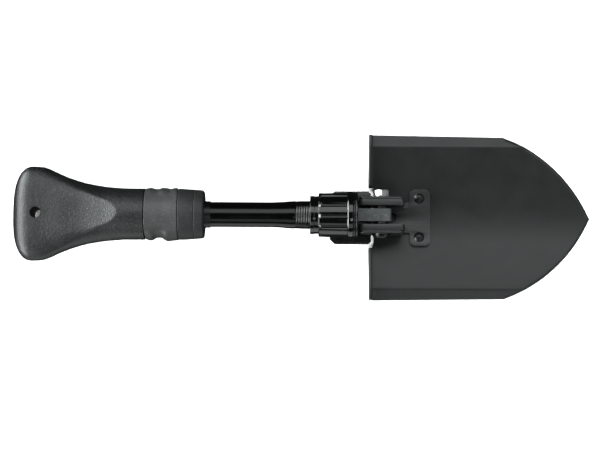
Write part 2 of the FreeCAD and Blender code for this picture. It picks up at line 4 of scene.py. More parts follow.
import bmesh
import bpy
import numpy as np
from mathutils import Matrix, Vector

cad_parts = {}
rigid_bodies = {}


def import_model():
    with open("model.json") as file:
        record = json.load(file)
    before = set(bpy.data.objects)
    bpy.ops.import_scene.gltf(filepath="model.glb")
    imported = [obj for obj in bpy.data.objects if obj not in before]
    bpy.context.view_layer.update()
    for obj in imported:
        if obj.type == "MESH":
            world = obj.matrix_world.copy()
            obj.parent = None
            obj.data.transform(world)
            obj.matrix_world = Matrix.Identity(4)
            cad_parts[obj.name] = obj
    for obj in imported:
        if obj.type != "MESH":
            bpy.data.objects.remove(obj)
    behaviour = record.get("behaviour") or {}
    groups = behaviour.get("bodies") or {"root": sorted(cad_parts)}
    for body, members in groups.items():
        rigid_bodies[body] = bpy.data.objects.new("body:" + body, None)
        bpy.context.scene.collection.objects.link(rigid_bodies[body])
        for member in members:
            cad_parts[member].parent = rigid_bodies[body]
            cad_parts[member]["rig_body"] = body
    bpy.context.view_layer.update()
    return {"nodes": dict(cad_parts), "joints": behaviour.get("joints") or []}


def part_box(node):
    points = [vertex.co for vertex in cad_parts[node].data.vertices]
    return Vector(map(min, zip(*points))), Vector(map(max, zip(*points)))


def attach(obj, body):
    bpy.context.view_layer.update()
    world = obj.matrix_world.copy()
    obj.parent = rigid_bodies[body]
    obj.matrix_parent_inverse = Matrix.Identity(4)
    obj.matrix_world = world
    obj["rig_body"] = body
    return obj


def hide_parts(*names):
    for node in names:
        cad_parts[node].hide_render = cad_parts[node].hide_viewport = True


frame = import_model()

# Shapes below are drawn in millimetres about the fold pin, with the shaft along X.
FOLD = next(joint for joint in frame["joints"] if joint["name"] == "fold")
PIN = np.array(FOLD["pos_m"], float)
MM = 0.001

# Sizes that several pieces share.
GRIP_CORE_R = 17.0
BUTTON_X = -200.5
BUTTON_HOLE_R = 4.25
TELESCOPE_STROKE = 49.0
NUT_BORE_R = 11.85


# ---------------------------------------------------------------- mesh helpers

def in_frame(points):
    """Millimetres about the pin to metres in the frame."""
    return np.asarray(points, float) * MM + PIN


def node_span(node, axis):
    """Lowest and highest place of a CAD node along an axis, in millimetres about the pin."""
    low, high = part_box(node)
    return (low[axis] - PIN[axis]) / MM, (high[axis] - PIN[axis]) / MM


def smooth_curve(points):
    """Cubic through (x, value) pairs that never overshoots them."""
    xs = np.array([p[0] for p in points], float)
    ys = np.array([p[1] for p in points], float)
    slopes = np.diff(ys) / np.diff(xs)
    tangents = np.zeros(len(xs))
    for i in range(1, len(xs) - 1):
        if slopes[i - 1] * slopes[i] > 0:
            tangents[i] = 2 / (1 / slopes[i - 1] + 1 / slopes[i])
    tangents[0] = slopes[0]
    tangents[-1] = slopes[-1]

    def curve(x):
        x = np.clip(x, xs[0], xs[-1])
        i = np.clip(np.searchsorted(xs, x, side="right") - 1, 0, len(xs) - 2)
        width = xs[i + 1] - xs[i]
        t = (x - xs[i]) / width
        return ((2 * t**3 - 3 * t**2 + 1) * ys[i] + (t**3 - 2 * t**2 + t) * width * tangents[i]
                + (3 * t**2 - 2 * t**3) * ys[i + 1] + (t**3 - t**2) * width * tangents[i + 1])

    return curve


def smooth_step(low, high, x):
    t = np.clip((x - low) / (high - low), 0, 1)
    return t * t * (3 - 2 * t)


def soft_min(a, b, blend):
    """The smaller of a and b, with the corner between them rounded over the blend length."""
    h = np.clip(0.5 + 0.5 * (b - a) / blend, 0, 1)
    return a * h + b * (1 - h) - blend * h * (1 - h)


def new_mesh(name, points, faces, sharp_degrees=40):
    mesh = bpy.data.meshes.new(name)
    mesh.from_pydata([tuple(p) for p in in_frame(points)], [], faces)
    work = bmesh.new()
    work.from_mesh(mesh)
    bmesh.ops.remove_doubles(work, verts=work.verts, dist=0.000002)
    bmesh.ops.recalc_face_normals(work, faces=work.faces)
    work.to_mesh(mesh)
    work.free()
    finish_shading(mesh, sharp_degrees)
    piece = bpy.data.objects.new(name, mesh)
    bpy.context.scene.collection.objects.link(piece)
    return piece


def finish_shading(mesh, sharp_degrees):
    mesh.polygons.foreach_set("use_smooth", [True] * len(mesh.polygons))
    mesh.set_sharp_from_angle(angle=math.radians(sharp_degrees))
    mesh.update()


def ring_tube(name, rings, sharp_degrees=40, closed=False):
    """Skin over rings of points; the two ends are capped unless the rings form a closed loop."""
    rings = np.asarray(rings, float)
    count, around = rings.shape[:2]
    faces = []
    last = count if closed else count - 1
    for i in range(last):
        j = (i + 1) % count
        for k in range(around):
            m = (k + 1) % around
            faces.append((i * around + k, i * around + m, j * around + m, j * around + k))
    if not closed:
        faces.append(tuple(range(around)))
        faces.append(tuple(reversed(range((count - 1) * around, count * around))))
    return new_mesh(name, rings.reshape(-1, 3), faces, sharp_degrees)


def round_corner(before, corner, after, radius, steps):
    """Points of an arc-like curve of about that radius, in place of the corner between two neighbours."""
    back = before - corner
    ahead = after - corner
    start = corner + back / np.linalg.norm(back) * min(radius, 0.45 * np.linalg.norm(back))
    end = corner + ahead / np.linalg.norm(ahead) * min(radius, 0.45 * np.linalg.norm(ahead))
    shares = [k / steps for k in range(steps + 1)]
    return [(1 - t)**2 * start + 2 * t * (1 - t) * corner + t**2 * end for t in shares]


def rounded_profile(corners, radius, steps=4):
    """Closed (x, r) outline with its corners rounded."""
    corners = [np.array(c, float) for c in corners]
    result = []
    for i, corner in enumerate(corners):
        result += round_corner(corners[i - 1], corner, corners[(i + 1) % len(corners)], radius, steps)
    return result


def open_rounded(corners, radius, steps=4):
    """Open (x, r) run with its inner corners rounded."""
    corners = [np.array(c, float) for c in corners]
    result = [corners[0]]
    for before, corner, after in zip(corners, corners[1:], corners[2:]):
        result += round_corner(before, corner, after, radius, steps)
    result.append(corners[-1])
    return result


def turned(name, corners, radius=0.3, around=160):
    """Ring turned about the shaft axis from a closed (x, r) outline."""
    angles = np.linspace(0, 2 * math.pi, around, endpoint=False)
    rings = []
    for x, r in rounded_profile(corners, radius):
        rings.append([(x, r * math.cos(a), r * math.sin(a)) for a in angles])
    return ring_tube(name, rings, 40, closed=True)


def apply_modifiers(piece):
    depsgraph = bpy.context.evaluated_depsgraph_get()
    mesh = bpy.data.meshes.new_from_object(piece.evaluated_get(depsgraph))
    piece.modifiers.clear()
    piece.data = mesh


def cut(piece, *cutters):
    """Cut the cutters out of the piece and remove them."""
    for cutter in cutters:
        modifier = piece.modifiers.new("cut", "BOOLEAN")
        modifier.operation = "DIFFERENCE"
        modifier.solver = "EXACT"
        modifier.object = cutter
        apply_modifiers(piece)
        bpy.data.objects.remove(cutter)


def cylinder_cutter(start, end, radii, around=64):
    """Cutter along the line from start to end. radii are (share of the way, radius) pairs."""
    start = np.array(start, float)
    end = np.array(end, float)
    along = (end - start) / np.linalg.norm(end - start)
    side = np.cross(along, (0, 1, 0) if abs(along[1]) < 0.9 else (1, 0, 0))
    side = side / np.linalg.norm(side)
    other = np.cross(along, side)
    angles = np.linspace(0, 2 * math.pi, around, endpoint=False)
    rings = []
    for t, radius in radii:
        centre = start + (end - start) * t
        rings.append([centre + radius * (side * math.cos(a) + other * math.sin(a)) for a in angles])
    return ring_tube("cutter", rings)


def prism_cutter(corners, low, high, radius=0.0):
    """Upright cutter with an (x, y) outline between two heights."""
    outline = rounded_profile(corners, radius) if radius else corners
    return ring_tube("cutter", [[(p[0], p[1], z) for p in outline] for z in (low, high)])


def refined(node, edge=0.35, segments=3, limit=28, sharp_degrees=35):
    """A CAD node's shape with its hard edges rounded."""
    mesh = frame["nodes"][node].data.copy()
    work = bmesh.new()
    work.from_mesh(mesh)
    bmesh.ops.remove_doubles(work, verts=work.verts, dist=0.000002)
    bmesh.ops.dissolve_limit(work, angle_limit=math.radians(0.6), verts=work.verts, edges=work.edges)
    work.to_mesh(mesh)
    work.free()
    piece = bpy.data.objects.new(node + "_finished", mesh)
    bpy.context.scene.collection.objects.link(piece)
    modifier = piece.modifiers.new("edges", "BEVEL")
    modifier.width = edge * MM
    modifier.segments = segments
    modifier.limit_method = "ANGLE"
    modifier.angle_limit = math.radians(limit)
    modifier.use_clamp_overlap = True
    apply_modifiers(piece)
    finish_shading(piece.data, sharp_degrees)
    return piece


def place(piece, node, material):
    """The piece stands for the CAD node, on the node's own body, dressed in the given material."""
    body = frame["nodes"][node]["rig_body"]
    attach(piece, body)
    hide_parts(node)
    dress(piece, material)


def dress(piece, material):
    piece.data.materials.clear()
    piece.data.materials.append(material)


# ---------------------------------------------------------------- materials

class Nodes:
    """Short hand for building one node material."""

    def __init__(self, name):
        self.material = bpy.data.materials.new(name)
        self.material.use_nodes = True
        self.tree = self.material.node_tree
        self.shader = self.tree.nodes["Principled BSDF"]
        self.place = self.add("ShaderNodeTexCoord").outputs["Object"]

    def add(self, kind, **settings):
        node = self.tree.nodes.new(kind)
        for key, value in settings.items():
            setattr(node, key, value)
        return node

    def link(self, source, target):
        self.tree.links.new(source, target)

    def noise(self, scale, detail=3.0, roughness=0.55, stretch=None):
        node = self.add("ShaderNodeTexNoise")
        node.inputs["Scale"].default_value = scale
        node.inputs["Detail"].default_value = detail
        node.inputs["Roughness"].default_value = roughness
        source = self.place
        if stretch:
            mapping = self.add("ShaderNodeMapping")
            mapping.inputs["Scale"].default_value = stretch
            self.link(source, mapping.inputs["Vector"])
            source = mapping.outputs["Vector"]
        self.link(source, node.inputs["Vector"])
        return node.outputs["Fac"]

    def spread(self, source, low, high, to_low, to_high):
        node = self.add("ShaderNodeMapRange")
        node.inputs["From Min"].default_value = low
        node.inputs["From Max"].default_value = high
        node.inputs["To Min"].default_value = to_low
        node.inputs["To Max"].default_value = to_high
        self.link(source, node.inputs["Value"])
        return node.outputs["Result"]

    def math(self, operation, a, b):
        node = self.add("ShaderNodeMath", operation=operation)
        for socket, value in zip(node.inputs, (a, b)):
            if isinstance(value, (int, float)):
                socket.default_value = value
            else:
                self.link(value, socket)
        return node.outputs[0]

    def mix(self, factor, a, b):
        node = self.add("ShaderNodeMix", data_type="RGBA")
        self.link(factor, node.inputs["Factor"])
        for socket, value in ((node.inputs[6], a), (node.inputs[7], b)):
            if isinstance(value, tuple):
                socket.default_value = (*value, 1.0)
            else:
                self.link(value, socket)
        return node.outputs[2]

    def edges(self, radius):
        """1 on rounded corners, 0 on flats."""
        rounded = self.add("ShaderNodeBevel", samples=4)
        rounded.inputs["Radius"].default_value = radius
        plain = self.add("ShaderNodeNewGeometry")
        dot = self.add("ShaderNodeVectorMath", operation="DOT_PRODUCT")
        self.link(rounded.outputs["Normal"], dot.inputs[0])
        self.link(plain.outputs["Normal"], dot.inputs[1])
        return self.spread(dot.outputs["Value"], 0.985, 0.90, 0.0, 1.0)

    def bump(self, layers):
        """Stack of (height source, depth in metres) layers."""
        normal = None
        for source, depth in layers:
            node = self.add("ShaderNodeBump")
            node.inputs["Strength"].default_value = 1.0
            node.inputs["Distance"].default_value = depth
            self.link(source, node.inputs["Height"])
            if normal:
                self.link(normal, node.inputs["Normal"])
            normal = node.outputs["Normal"]
        self.link(normal, self.shader.inputs["Normal"])

    def set(self, **values):
        for key, value in values.items():
            self.shader.inputs[key.replace("_", " ")].default_value = value


def coated(name, dark, light, rough, grain=900.0, grain_depth=0.00001, patches=25.0, wear=0.0,
           wear_color=(0.20, 0.20, 0.20), peel=0.0, specular=0.5, fleck=0.0):
    """Paint, powder coat or moulded plastic: two close tones, fine grain, and rubbed corners."""
    n = Nodes(name)
    fine = n.noise(grain, 2.0, 0.6)
    tone = n.spread(n.noise(patches, 4.0), 0.35, 0.65, 0.0, 1.0)
    base = n.mix(tone, dark, light)
    if fleck:
        bright = tuple(c * (1 + fleck) for c in light)
        base = n.mix(n.spread(fine, 0.52, 0.70, 0.0, 1.0), base, bright)
    layers = [(fine, grain_depth)]
    if peel:
        layers.append((n.noise(grain / 4, 1.0, 0.4), peel))
    if wear:
        rub = n.math("MULTIPLY", n.edges(0.0006), n.spread(n.noise(160.0, 4.0), 0.42, 0.62, 0.0, wear))
        base = n.mix(rub, base, wear_color)
    n.link(base, n.shader.inputs["Base Color"])
    smudge = n.spread(n.noise(70.0, 5.0, 0.6), 0.3, 0.7, rough - 0.03, rough + 0.04)
    n.link(smudge, n.shader.inputs["Roughness"])
    n.bump(layers)
    n.set(Specular_IOR_Level=specular)
    return n.material


def bare_metal(name, color, rough, brush=(1, 1, 1), grain=700.0, depth=0.00002):
    n = Nodes(name)
    dark = tuple(0.62 * c for c in color)
    streaks = n.noise(grain, 4.0, 0.6, stretch=brush)
    n.link(n.mix(n.spread(streaks, 0.3, 0.7, 0.0, 1.0), dark, color), n.shader.inputs["Base Color"])
    n.link(n.spread(streaks, 0.3, 0.7, rough - 0.08, rough + 0.12), n.shader.inputs["Roughness"])
    n.bump([(streaks, depth)])
    n.set(Metallic=1.0)
    return n.material


def make_materials():
    return {
        "nylon": coated("moulded_nylon", (0.009, 0.010, 0.0105), (0.015, 0.0165, 0.017), 0.34, grain=860.0,
                        grain_depth=0.00036, wear=0.2, wear_color=(0.06, 0.06, 0.06), peel=0.00002,
                        specular=0.75, fleck=3.0),
        "rubber": coated("grip_rubber", (0.062, 0.064, 0.065), (0.105, 0.107, 0.108), 0.50, grain=700.0,
                         grain_depth=0.00014, patches=45.0, peel=0.00005, specular=0.7, fleck=0.25),
        "ferrule": coated("ferrule_plastic", (0.036, 0.038, 0.039), (0.042, 0.044, 0.045), 0.48, grain=900.0,
                          grain_depth=0.00022, wear=0.2, wear_color=(0.10, 0.10, 0.10), fleck=0.7),
        "bushing": coated("bushing_plastic", (0.004, 0.0042, 0.0044), (0.006, 0.0062, 0.0064), 0.32),
        "gloss": coated("gloss_black_tube", (0.0006, 0.0007, 0.0008), (0.0010, 0.0011, 0.0012), 0.17,
                        grain=500.0, grain_depth=0.000004, peel=0.000006),
        "nut": coated("gloss_black_nut", (0.0004, 0.0005, 0.0005), (0.0008, 0.0009, 0.0010), 0.11,
                      grain=600.0, grain_depth=0.000003, wear=0.15, wear_color=(0.20, 0.20, 0.20),
                      peel=0.000004, specular=1.0),
        "ring": coated("satin_black_ring", (0.003, 0.0033, 0.0035), (0.005, 0.0053, 0.0056), 0.26,
                       specular=0.6),
        "yoke": coated("cast_yoke", (0.115, 0.123, 0.124), (0.160, 0.170, 0.171), 0.50, grain=520.0,
                       grain_depth=0.00016, patches=120.0, wear=0.5, peel=0.00006, fleck=0.5),
        "pad": coated("gloss_black_pad", (0.003, 0.0035, 0.0036), (0.005, 0.0056, 0.0058), 0.26, grain=600.0,
                      grain_depth=0.000006, wear=0.3, peel=0.00001, specular=0.7),
        "blade": coated("powder_coat_blade", (0.0045, 0.0065, 0.0070), (0.0055, 0.0075, 0.0080), 0.38,
                        grain=1500.0, grain_depth=0.000012, patches=9.0, wear=0.35,
                        wear_color=(0.12, 0.12, 0.12), specular=0.8),
        "bracket": coated("powder_coat_bracket", (0.028, 0.0315, 0.032), (0.033, 0.0368, 0.0375), 0.36,
                          grain=1200.0, grain_depth=0.000014, wear=0.6, wear_color=(0.20, 0.20, 0.20),
                          specular=0.9),
        "bolt": coated("gloss_black_bolt", (0.003, 0.0033, 0.0035), (0.006, 0.0063, 0.0066), 0.20, wear=0.15,
                       wear_color=(0.3, 0.3, 0.3), specular=0.45),
        "rivet": coated("gloss_black_rivet", (0.010, 0.011, 0.0115), (0.016, 0.0175, 0.018), 0.27,
                        grain=800.0, grain_depth=0.00001, wear=0.3, wear_color=(0.20, 0.20, 0.20),
                        specular=0.5),
        "zinc": bare_metal("zinc_plate", (0.55, 0.55, 0.53), 0.34, grain=500.0, depth=0.00009),
        "spring": bare_metal("spring_steel", (0.50, 0.50, 0.50), 0.28, brush=(0.1, 1, 1)),
    }


# ---------------------------------------------------------------- handle

def make_handle(materials):
    """Moulded neck that flares into a pommel with a long flat on each face."""
    seam_x = -192.8
    wide_x = -283.2
    wide_y = 38.65
    end_x, core_end_x = node_span("handle_body", 0)
    half_width = smooth_curve([(wide_x, wide_y), (-279.2, 38.45), (-274.3, 37.7), (-269.4, 36.0),
                               (-264.5, 33.7), (-258.0, 30.8), (-249.8, 27.8), (-241.7, 25.4),
                               (-233.5, 23.7), (-225.4, 22.4), (-217.3, 21.6), (-209.0, 21.0),
                               (seam_x, 20.9)])
    flat_z = smooth_curve([(-301.0, 13.1), (-277.0, 13.1), (-262.0, 13.6), (-246.0, 14.4), (-228.0, 17.2),
                           (-212.0, 21.3), (-190.0, 27.0)])
    body_half_z = 20.9
    collar_x = -207.4
    around = 192
    roll_start_x = -284.5
    roll_depth = roll_start_x - end_x
    end_power = 0.8

    rows = [(core_end_x, GRIP_CORE_R, GRIP_CORE_R), (seam_x, GRIP_CORE_R, GRIP_CORE_R)]
    for x in np.linspace(seam_x, wide_x + 0.8, 118):
        rows.append((x, half_width(x), body_half_z))
    for angle in np.radians(np.linspace(90, 2, 46)):
        x = wide_x - (wide_x - end_x) * math.cos(angle) ** end_power
        size = math.sin(angle) ** end_power
        rows.append((x, wide_y * size, body_half_z * size))
    angles = np.linspace(0, 2 * math.pi, around, endpoint=False)
    cos = np.cos(angles)
    sin = np.sin(angles)
    rings = []
    for x, half_y, half_z in rows:
        # between the collar and the pommel the section is a little leaner than an ellipse
        power = 1 / (1.0 - 0.10 * smooth_step(collar_x, collar_x - 22.0, x) * smooth_step(-262.0, -240.0, x))
        y = half_y * np.sign(cos) * np.abs(cos) ** power
        z = half_z * np.abs(sin) ** power
        # the long flat on each face, which rolls down to the end of the pommel
        limit = flat_z(x)
        if x < roll_start_x:
            t = min((roll_start_x - x) / roll_depth, 1.0)
            limit = limit * (1 - t**2.3) ** (1 / 2.3)
        blend = 0.3 + 8.5 * smooth_step(-226.0, -272.0, x)
        z = np.where(z > 0.01, soft_min(z, limit + 0.0009 * y**2, blend), z)
        z = np.maximum(z, 0) * np.sign(sin)
        rings.append(np.stack([np.full(around, x), y, z], axis=1))
    handle = ring_tube("handle_grip_shell", rings, 60)

    past_x = core_end_x + 2
    bore = cylinder_cutter((-263.5, 0, 0), (past_x, 0, 0), [(0, 11.3), (1, 11.3)])
    bushing_seat = cylinder_cutter((-158.0, 0, 0), (past_x, 0, 0), [(0, 12.0), (1, 12.0)])
    lanyard_x = -280.1
    mouth = [(0, 7.0), (0.085, 4.75), (0.105, 4.3), (0.14, 4.2)]
    lanyard = cylinder_cutter((lanyard_x, 0, -16), (lanyard_x, 0, 16),
                              mouth + [(1 - share, radius) for share, radius in reversed(mouth)])
    cutters = [bore, bushing_seat, lanyard]
    inside_z = 5.0
    recess_z = 13.6
    recess_r = 7.0
    for x, outside_z in ((BUTTON_X, 22.5), (BUTTON_X - TELESCOPE_STROKE, 17.5)):
        # the button's hole, then a flared recess for a fingertip
        step = (recess_z - inside_z) / (outside_z - inside_z)
        flare_r = recess_r + 0.5 + 0.9 * (outside_z - recess_z)
        profile = [(0, BUTTON_HOLE_R), (step, BUTTON_HOLE_R), (step + 0.001, recess_r),
                   (step + 0.08 * (1 - step), recess_r + 0.5), (1, flare_r)]
        cutters.append(cylinder_cutter((x, 0, -inside_z), (x, 0, -outside_z), profile))
    cut(handle, *cutters)
    finish_shading(handle.data, 50)
    place(handle, "handle_body", materials["nylon"])


def make_grip(materials):
    """Rubber sleeve: smooth saddle on the face, finger ribs along both sides."""
    back_x, front_x = node_span("grip_sleeve", 0)
    length = front_x - back_x
    # radii against the share of the sleeve's length
    upper = smooth_curve([(0.0, 20.85), (0.16, 21.55), (0.36, 20.45), (0.56, 21.7), (0.77, 20.8),
                          (0.93, 21.6), (1.0, 20.85)])
    lower = smooth_curve([(0.0, 20.3), (0.17, 21.55), (0.37, 19.3), (0.45, 19.3), (0.69, 22.1),
                          (0.82, 21.7), (1.0, 21.2)])
    saddle = smooth_curve([(0.0, 20.75), (0.15, 20.55), (0.5, 20.2), (0.85, 20.5), (1.0, 20.75)])
    around = 256
    angles = np.linspace(0, 2 * math.pi, around, endpoint=False)
    side = np.cos(angles)
    strength = smooth_step(0.62, 0.93, np.abs(side))
    lip = 0.5
    rings = []

    def ring(x, inset):
        t = (x - back_x) / length
        ribs = np.where(side > 0, upper(t), lower(t))
        r = saddle(t) * (1 - strength) + ribs * strength - inset
        return np.stack([np.full(around, x), r * np.cos(angles), r * np.sin(angles)], axis=1)

    turns = [math.radians(90 * k / 4) for k in range(5)]
    for turn in turns:
        rings.append(ring(back_x + lip * (1 - math.cos(turn)), lip * (1 - math.sin(turn))))
    for x in np.linspace(back_x + lip, front_x - lip, 84)[1:-1]:
        rings.append(ring(x, 0))
    for turn in reversed(turns):
        rings.append(ring(front_x - lip * (1 - math.cos(turn)), lip * (1 - math.sin(turn))))
    core_y = GRIP_CORE_R * np.cos(angles)
    core_z = GRIP_CORE_R * np.sin(angles)
    for x in (front_x, back_x):
        rings.append(np.stack([np.full(around, x), core_y, core_z], axis=1))
    place(ring_tube("grip_rubber", rings, 50, closed=True), "grip_sleeve", materials["rubber"])


def make_ferrule(materials):
    """Two plastic rings in front of the grip, and the bushing that stands out of the mouth."""
    back_x, front_x = node_span("ferrule_ring", 0)
    ring = turned("ferrule_band", [(back_x, GRIP_CORE_R), (back_x, 20.95), (front_x, 20.25),
                                   (front_x, GRIP_CORE_R)], 0.6)
    place(ring, "ferrule_ring", materials["ferrule"])
    end_back_x, mouth_x = node_span("ferrule_end_ring", 0)
    end = turned("ferrule_mouth", [(end_back_x, 12.0), (end_back_x, 20.15), (end_back_x + 2.0, 20.05),
                                   (mouth_x - 1.2, 19.6), (mouth_x, 18.6), (mouth_x, 12.0)], 0.6)
    place(end, "ferrule_end_ring", materials["ferrule"])
    bush_back_x, bush_front_x = node_span("mouth_bushing", 0)
    bush = turned("mouth_sleeve", [(bush_back_x, 10.26), (bush_back_x, 11.9), (mouth_x - 0.2, 11.9),
                                   (mouth_x - 0.2, 10.95), (bush_front_x, 10.8), (bush_front_x, 10.26)], 0.2)
    place(bush, "mouth_bushing", materials["bushing"])


# ---------------------------------------------------------------- tube, nut and rings

def surface_of_revolution(name, outer, inner, around, ripple=None):
    """Hollow turned piece from outer and inner (x, r) runs, both going the same way along the shaft.
    ripple(x, r, angles) may shift the outer radius round the piece."""
    angles = np.linspace(0, 2 * math.pi, around, endpoint=False)
    rings = []
    for x, r in outer:
        radius = np.full(around, r, float)
        if ripple:
            radius = ripple(x, radius, angles)
        rings.append(np.stack([np.full(around, x), radius * np.sin(angles), radius * np.cos(angles)], axis=1))
    for x, r in reversed(inner):
        rings.append(np.stack([np.full(around, x), r * np.sin(angles), r * np.cos(angles)], axis=1))
    return ring_tube(name, rings, 40, closed=True)


def make_tube(materials):
    """Shaft tube: a plain rear length, a flare, and a rolled thread under the nut."""
    rear_x, front_x = node_span("shaft_tube", 0)
    pitch = 2.0
    crest_r = 11.75
    root_r = 11.2
    thread_x = -70.6
    tube_r = smooth_curve([(rear_x, 10.2), (-91.0, 10.2), (-82.0, 10.55), (-74.0, 11.2), (thread_x, 11.3),
                           (-66.0, crest_r - 0.1), (-58.0, crest_r), (front_x, crest_r)])

    def thread(x, radius, angles):
        start = smooth_step(thread_x - 1.2, thread_x + 1.2, x)
        end = 1 - smooth_step(front_x - 2.0, front_x - 0.6, x)
        phase = ((x - thread_x) / pitch - angles / (2 * math.pi)) % 1.0
        groove = 0.5 - 0.5 * np.cos(2 * math.pi * phase)
        return radius - (crest_r - root_r) * groove * start * end

    xs = list(np.linspace(rear_x, -95.0, 20)) + list(np.linspace(-94.0, thread_x - 1.4, 30))
    xs += list(np.arange(thread_x - 1.2, front_x - 0.3, pitch / 12)) + [front_x]
    outer = [(x, float(tube_r(x))) for x in xs]
    bore_r = 8.7
    inner = [(rear_x, bore_r), (front_x, bore_r)]
    tube = surface_of_revolution("shaft_tube_finished", outer, inner, 120, thread)
    cut(tube, cylinder_cutter((BUTTON_X, 0, -7.0), (BUTTON_X, 0, -12.0),
                              [(0, BUTTON_HOLE_R), (1, BUTTON_HOLE_R)]))
    finish_shading(tube.data, 40)
    place(tube, "shaft_tube", materials["gloss"])


def make_nut(materials):
    """Lock nut: narrow rear collar, fluted body with a small ramp at the head of each flute, and a flange."""
    back_x, hub_x = node_span("lock_nut", 0)
    body_x = -51.4
    flange_x = -28.4
    flange_end_x = -23.6
    hub_step_x = -21.6
    body_r = 18.05
    body_end_r = 18.4
    flange_r = 19.35
    collar_r = 15.6
    hub_r = 13.5
    hub_nose_r = 12.8
    flutes = 12
    first_flute = math.radians(-8)
    flute_r = 2.0
    flute_depth = 1.35
    ramp_depth = 1.9
    ramp_rise = 0.55

    def flute(x, radius, angles):
        if x < body_x - 0.5 or x > flange_x + 0.05:
            return radius
        step = 2 * math.pi / flutes
        off = (angles - first_flute + step / 2) % step - step / 2
        side = body_r * off
        lift = flute_r - flute_depth
        start = body_x + 2.6
        ahead = max(start - x, 0.0)
        reach = flute_r**2 - side**2 - ahead**2
        groove = np.sqrt(np.maximum(reach, 0)) - lift
        ramp = (ramp_depth - ramp_rise * (x - body_x)) * (1 - smooth_step(1.25, 1.75, np.abs(side)))
        depth = np.maximum(np.maximum(groove, ramp), 0)
        outside = body_r + (body_end_r - body_r) * (x - body_x) / (flange_x - body_x)
        return np.minimum(radius, outside - depth)

    ridge = open_rounded([(back_x, NUT_BORE_R), (back_x, collar_r), (-55.2, collar_r),
                          (-54.8, collar_r - 0.3), (body_x, collar_r - 0.3), (body_x + 0.05, body_r - 0.25),
                          (flange_x, body_end_r), (flange_x, 18.6), (flange_x + 1.1, flange_r),
                          (flange_end_x, flange_r), (flange_end_x, hub_r), (hub_step_x, hub_r),
                          (hub_step_x, hub_nose_r), (hub_x, hub_nose_r), (hub_x, NUT_BORE_R)], 0.5)
    outer = []
    for here, after in zip(ridge, ridge[1:]):
        # fine steps where the heads of the flutes are, coarse steps elsewhere
        longest = 0.16 if body_x - 0.2 < here[0] < body_x + 4.5 else 2.5
        pieces = max(1, int(float(np.linalg.norm(after - here)) / longest))
        for k in range(pieces):
            t = k / pieces
            outer.append(tuple((1 - t) * here + t * after))
    outer.append(tuple(ridge[-1]))
    nut = surface_of_revolution("lock_nut_finished", outer, [], flutes * 30, flute)
    finish_shading(nut.data, 42)
    place(nut, "lock_nut", materials["nut"])


# ---------------------------------------------------------------- blade

VALLEY_R = 159.0
VALLEY_HALF = 21.0
FACE_Z = -23.5
SHEET = 2.5
FLANGE_Y = 59.2
FLANGE_BEND = math.radians(20)
FLANGE_SOFT = 0.9
LIP_X, TIP_X = node_span("blade", 0)
BLADE_HALF = node_span("blade", 1)[1]
LIP_BEND_R = 1.1
BACK_X = LIP_X + SHEET + LIP_BEND_R
NOTCH_X = -5.6
SHOULDER_X = 101.8
SHOULDER_HALF = 67.1
POINT_R = 126.0
LIP_INNER = 24.9


def side_y(x):
    """Half width of the blade's plan along its straight sides."""
    return BLADE_HALF + (SHOULDER_HALF - BLADE_HALF) * (x - LIP_X) / (SHOULDER_X - LIP_X)


def point_centre():
    """Centre of the arc along the +Y side of the point."""
    shoulder = np.array([SHOULDER_X, side_y(SHOULDER_X)])
    tip = np.array([TIP_X, 0.0])
    chord = tip - shoulder
    half = np.linalg.norm(chord) / 2
    inward = np.array([chord[1], -chord[0]]) / (2 * half)
    return (shoulder + tip) / 2 + inward * math.sqrt(POINT_R**2 - half**2)


POINT_CENTRE = point_centre()


def outline_y(x):
    """Half width of the blade's plan at x."""
    if x <= SHOULDER_X:
        return side_y(x)
    dx = x - POINT_CENTRE[0]
    return max(POINT_CENTRE[1] + math.sqrt(max(POINT_R**2 - dx**2, 0)), 0.0)


def ground_y(x):
    """Inner edge of the narrow ground bevel round the point."""
    ground = 1.7
    if x <= SHOULDER_X:
        return side_y(x) - 0.02
    dx = x - POINT_CENTRE[0]
    reach = (POINT_R - ground) ** 2 - dx**2
    if reach <= 0:
        return 0.0
    inner = max(POINT_CENTRE[1] + math.sqrt(reach), 0.0)
    return min(inner, outline_y(x))


def face_z(y):
    """Height of the blade's face at distance y from its middle line."""
    slope = math.asin(VALLEY_HALF / VALLEY_R)
    if y <= VALLEY_HALF:
        return FACE_Z + VALLEY_R - math.sqrt(VALLEY_R**2 - y * y)
    rise = FACE_Z + VALLEY_R * (1 - math.cos(slope))
    bend_z = rise + (y - VALLEY_HALF) * math.tan(slope)
    over = y - FLANGE_Y
    drop = math.tan(slope) - math.tan(slope - FLANGE_BEND)
    if over <= -FLANGE_SOFT:
        return bend_z
    if over >= FLANGE_SOFT:
        return bend_z - over * drop
    return bend_z - drop * (over + FLANGE_SOFT) ** 2 / (4 * FLANGE_SOFT)


def face_normal(y):
    """Upward normal (y, z) of the face at distance y from the middle line."""
    slope = (face_z(y + 0.01) - face_z(abs(y - 0.01))) / 0.02 if y > 0.01 else 0.0
    length = math.hypot(slope, 1)
    return -slope / length, 1 / length


